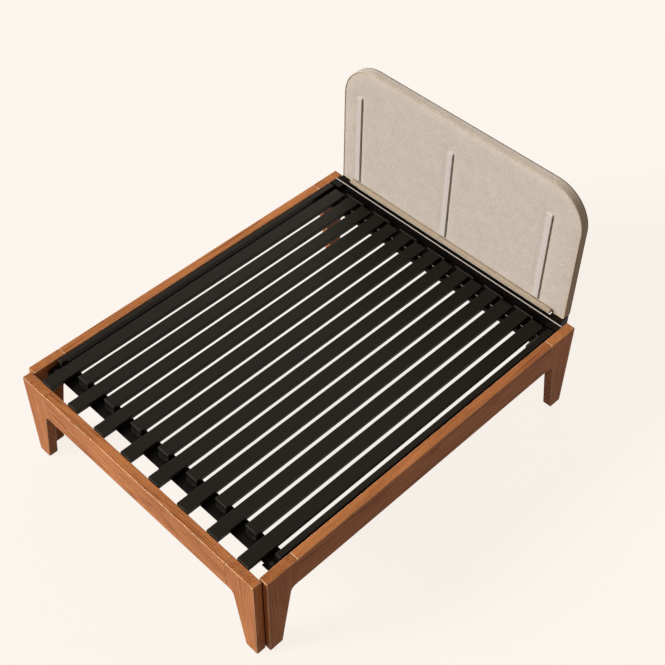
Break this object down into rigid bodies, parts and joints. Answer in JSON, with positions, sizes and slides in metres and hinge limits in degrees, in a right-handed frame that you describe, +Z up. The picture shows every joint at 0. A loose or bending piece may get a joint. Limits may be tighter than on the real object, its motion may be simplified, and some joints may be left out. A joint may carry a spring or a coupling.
{
  "type": "extendable slatted daybed",
  "caption": "Slatted daybed with a padded headboard, tapered wooden legs and a front frame with every second slat that slides out to lengthen the bed.",
  "frame": {"origin": "centre of the footprint, on the floor", "axes": "+Z up, +Y towards the headboard, +X to the right seen from the foot end; the pull-out frame slides along -Y"},
  "size_m": [1.2, 1.558, 0.962],
  "materials": {
    "oiled_wood": "satin oiled, straight grain",
    "dowel_wood": "plain",
    "plywood": "plain",
    "batten_wood": "plain",
    "black_wood": "painted black",
    "black_steel": "satin powder coat",
    "black_plastic": "moulded",
    "grey_nylon": "moulded",
    "zinc_steel": "zinc plated",
    "panel_fabric": "fine woven",
    "band_fabric": "fine woven",
    "strip_fabric": "woven tape"
  },
  "bodies": {
    "main_frame": {"bar_brackets": "black_steel", "corner_plates": "black_steel", "fixed_slat_1": "black_steel", "fixed_slat_2": "black_steel", "fixed_slat_3": "black_steel", "fixed_slat_4": "black_steel", "fixed_slat_5": "black_steel", "fixed_slat_6": "black_steel", "fixed_slat_7": "black_steel", "fixed_slat_plugs": "black_plastic", "fixed_slat_screws": "zinc_steel", "frame_bolts": "zinc_steel", "front_cross_bar": "black_steel", "head_beam": "black_steel", "headboard_back": "panel_fabric", "headboard_band": "band_fabric", "headboard_battens": "batten_wood", "headboard_core": "plywood", "headboard_cover": "panel_fabric", "headboard_strips": "strip_fabric", "left_back_leg": "oiled_wood", "left_front_leg": "oiled_wood", "left_headboard_post": "black_steel", "left_runner_channel": "black_steel", "left_side_rail": "oiled_wood", "left_side_tube": "black_steel", "post_blocks": "black_wood", "right_back_leg": "oiled_wood", "right_front_leg": "oiled_wood", "right_headboard_post": "black_steel", "right_runner_channel": "black_steel", "right_side_rail": "oiled_wood", "right_side_tube": "black_steel", "runner_stops": "black_steel", "side_frame_dowels": "dowel_wood", "side_leg_pads": "black_plastic", "slat_glides": "black_plastic", "slat_holders": "black_plastic", "slat_seats": "black_plastic", "wood_screws": "zinc_steel"},
    "pull_out": {"cross_tube": "black_steel", "cross_tube_spacers": "black_plastic", "pull_out_dowels": "dowel_wood", "pull_out_left_leg": "oiled_wood", "pull_out_pads": "black_plastic", "pull_out_rail": "oiled_wood", "pull_out_right_leg": "oiled_wood", "pull_out_screws": "zinc_steel", "pull_out_slat_1": "black_steel", "pull_out_slat_2": "black_steel", "pull_out_slat_3": "black_steel", "pull_out_slat_4": "black_steel", "pull_out_slat_5": "black_steel", "pull_out_slat_6": "black_steel", "pull_out_slat_7": "black_steel", "pull_out_slat_8": "black_steel", "pull_out_slat_plugs": "black_plastic", "runner_shoes": "grey_nylon", "slat_ledger": "black_steel"}
  },
  "joints": [
    {"name": "pull_out_slide", "type": "slide", "parent": "main_frame", "child": "pull_out", "axis": [0, -1, 0], "range_m": [0, 0.48]}
  ]
}
